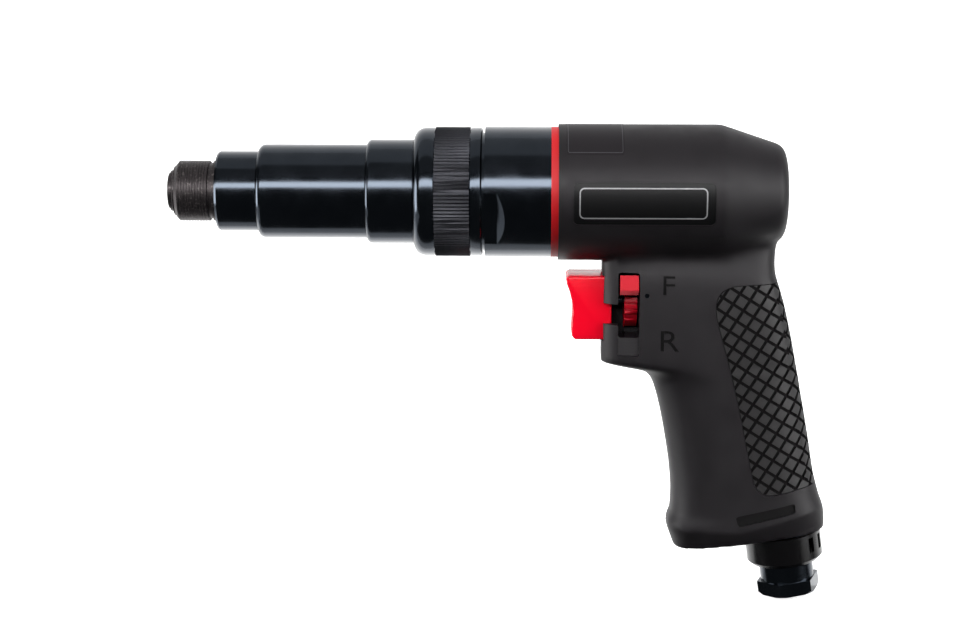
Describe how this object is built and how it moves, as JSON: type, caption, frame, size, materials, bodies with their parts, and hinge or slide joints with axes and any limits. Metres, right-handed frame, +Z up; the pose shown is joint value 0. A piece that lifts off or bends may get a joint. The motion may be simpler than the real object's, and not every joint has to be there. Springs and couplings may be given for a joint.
{
  "type": "pneumatic screwdriver",
  "caption": "Pistol-grip air screwdriver with a stepped nose, adjustable clutch ring, quick-change bit chuck, trigger, reverse lever and air inlet in the foot",
  "frame": {"origin": "centre of the bit socket's mouth, on the spindle axis", "axes": "-X along the spindle axis out of the nose, +Z up, handle towards -Z, reverse lever on the -Y side"},
  "size_m": [0.2248, 0.046, 0.164],
  "materials": {
    "black_steel": "black oxide, polished",
    "dark_steel": "phosphated, dull",
    "plain_steel": "ground",
    "bronze": "sintered",
    "brass": "machined",
    "rubber": "plain",
    "black_plastic": "fine satin texture",
    "grip_rubber": "diamond relief",
    "red_plastic": "gloss",
    "red_ring": "satin",
    "vane_resin": "plain"
  },
  "bodies": {
    "housing": {"nose_cap": "black_steel", "nose_housing": "black_steel", "gear_housing": "black_steel", "inlet_bushing": "black_steel", "ring_washer": "dark_steel", "spindle_bearing": "plain_steel", "output_bearing": "plain_steel", "bearing_holder": "plain_steel", "ring_gear": "plain_steel", "motor_front_plate": "plain_steel", "rotor_front_bearing": "plain_steel", "motor_cylinder": "plain_steel", "motor_rear_plate": "plain_steel", "rotor_rear_bearing": "plain_steel", "motor_dowel": "plain_steel", "valve_spring": "plain_steel", "valve_keeper": "plain_steel", "nose_bush": "bronze", "muffler": "bronze", "throttle_seat": "brass", "valve_liner": "brass", "nose_seal": "rubber", "ring_seal": "rubber", "inlet_seal": "rubber", "housing": "black_plastic", "grip_pad": "grip_rubber", "trim_ring": "red_ring"},
    "spindle": {"spindle": "dark_steel", "chuck_circlip": "plain_steel", "chuck_washer": "dark_steel", "chuck_spring": "plain_steel", "clutch_balls": "plain_steel"},
    "chuck_sleeve": {"chuck_sleeve": "dark_steel"},
    "lock_ball": {"lock_ball": "plain_steel"},
    "output_shaft": {"output_shaft": "dark_steel", "output_planet_pins": "dark_steel", "clutch_spring": "plain_steel"},
    "drive_cam": {"drive_cam": "plain_steel", "spring_washer": "plain_steel"},
    "torque_nut": {"torque_nut": "plain_steel", "thrust_bearing": "plain_steel"},
    "adjusting_ring": {"adjusting_ring": "black_steel"},
    "output_planet_1": {"output_planet_1": "plain_steel"},
    "output_planet_2": {"output_planet_2": "plain_steel"},
    "output_planet_3": {"output_planet_3": "plain_steel"},
    "input_carrier": {"input_carrier": "dark_steel", "input_planet_pins": "dark_steel"},
    "input_planet_1": {"input_planet_1": "plain_steel"},
    "input_planet_2": {"input_planet_2": "plain_steel"},
    "input_planet_3": {"input_planet_3": "plain_steel"},
    "rotor": {"rotor": "dark_steel", "vanes": "vane_resin", "sun_pinion": "plain_steel"},
    "trigger": {"trigger": "red_plastic", "trigger_stem": "plain_steel", "stem_seal": "rubber"},
    "reverse_lever": {"reverse_lever": "red_plastic", "reverse_valve": "brass"},
    "exhaust_deflector": {"exhaust_deflector": "black_plastic"}
  },
  "joints": [
    {"name": "rotor_spin", "type": "hinge", "parent": "housing", "child": "rotor", "pos_m": [0.165, 0, 0], "axis": [1, 0, 0], "continuous": true},
    {"name": "input_carrier_spin", "type": "hinge", "parent": "housing", "child": "input_carrier", "pos_m": [0.126, 0, 0], "axis": [1, 0, 0], "continuous": true},
    {"name": "output_shaft_spin", "type": "hinge", "parent": "housing", "child": "output_shaft", "pos_m": [0.1, 0, 0], "axis": [1, 0, 0], "continuous": true},
    {"name": "spindle_spin", "type": "hinge", "parent": "housing", "child": "spindle", "pos_m": [0.03, 0, 0], "axis": [1, 0, 0], "continuous": true},
    {"name": "output_planet_1_spin", "type": "hinge", "parent": "output_shaft", "child": "output_planet_1", "pos_m": [0.1172, 0, -0.0108], "axis": [1, 0, 0], "continuous": true},
    {"name": "output_planet_2_spin", "type": "hinge", "parent": "output_shaft", "child": "output_planet_2", "pos_m": [0.1172, 0.00935, 0.0054], "axis": [1, 0, 0], "continuous": true},
    {"name": "output_planet_3_spin", "type": "hinge", "parent": "output_shaft", "child": "output_planet_3", "pos_m": [0.1172, -0.00935, 0.0054], "axis": [1, 0, 0], "continuous": true},
    {"name": "input_planet_1_spin", "type": "hinge", "parent": "input_carrier", "child": "input_planet_1", "pos_m": [0.1287, 0, -0.0108], "axis": [1, 0, 0], "continuous": true},
    {"name": "input_planet_2_spin", "type": "hinge", "parent": "input_carrier", "child": "input_planet_2", "pos_m": [0.1287, 0.00935, 0.0054], "axis": [1, 0, 0], "continuous": true},
    {"name": "input_planet_3_spin", "type": "hinge", "parent": "input_carrier", "child": "input_planet_3", "pos_m": [0.1287, -0.00935, 0.0054], "axis": [1, 0, 0], "continuous": true},
    {"name": "sleeve_pull", "type": "slide", "parent": "spindle", "child": "chuck_sleeve", "axis": [-1, 0, 0], "range_m": [0, 0.002], "stiffness_N_per_m": 600, "springref_m": -0.002, "deforming": ["chuck_spring"]},
    {"name": "lock_ball_release", "type": "slide", "parent": "spindle", "child": "lock_ball", "axis": [0, 0, 1], "range_m": [0, 0.00075]},
    {"name": "clutch_lift", "type": "slide", "parent": "output_shaft", "child": "drive_cam", "axis": [1, 0, 0], "range_m": [0, 0.0022], "stiffness_N_per_m": 4000, "springref_m": -0.002, "deforming": ["clutch_spring"]},
    {"name": "ring_turn", "type": "hinge", "parent": "housing", "child": "adjusting_ring", "pos_m": [0.095, 0, 0], "axis": [1, 0, 0], "range_deg": [0, 720]},
    {"name": "nut_slide", "type": "slide", "parent": "housing", "child": "torque_nut", "axis": [-1, 0, 0], "range_m": [0, 0.004], "deforming": ["clutch_spring"]},
    {"name": "trigger_pull", "type": "slide", "parent": "housing", "child": "trigger", "axis": [1, 0, 0], "range_m": [0, 0.004], "stiffness_N_per_m": 1500, "springref_m": -0.002, "deforming": ["valve_spring"]},
    {"name": "reverse_swing", "type": "hinge", "parent": "housing", "child": "reverse_lever", "pos_m": [0.155, 0, -0.0371], "axis": [1, 0, 0], "range_deg": [0, 64]},
    {"name": "deflector_swivel", "type": "hinge", "parent": "housing", "child": "exhaust_deflector", "pos_m": [0.2105, 0, -0.1179], "axis": [0.1392, 0, -0.9903], "range_deg": [-180, 180]}
  ],
  "couplings": [
    {"joint": "input_carrier_spin", "follows": "rotor_spin", "ratio": 0.27778},
    {"joint": "output_shaft_spin", "follows": "rotor_spin", "ratio": 0.07716},
    {"joint": "spindle_spin", "follows": "rotor_spin", "ratio": 0.07716},
    {"joint": "output_planet_1_spin", "follows": "rotor_spin", "ratio": -0.25077},
    {"joint": "output_planet_2_spin", "follows": "rotor_spin", "ratio": -0.25077},
    {"joint": "output_planet_3_spin", "follows": "rotor_spin", "ratio": -0.25077},
    {"joint": "input_planet_1_spin", "follows": "rotor_spin", "ratio": -0.90278},
    {"joint": "input_planet_2_spin", "follows": "rotor_spin", "ratio": -0.90278},
    {"joint": "input_planet_3_spin", "follows": "rotor_spin", "ratio": -0.90278},
    {"joint": "lock_ball_release", "follows": "sleeve_pull", "ratio": 0.375},
    {"joint": "nut_slide", "follows": "ring_turn", "m_per_rad": 0.00031831}
  ]
}
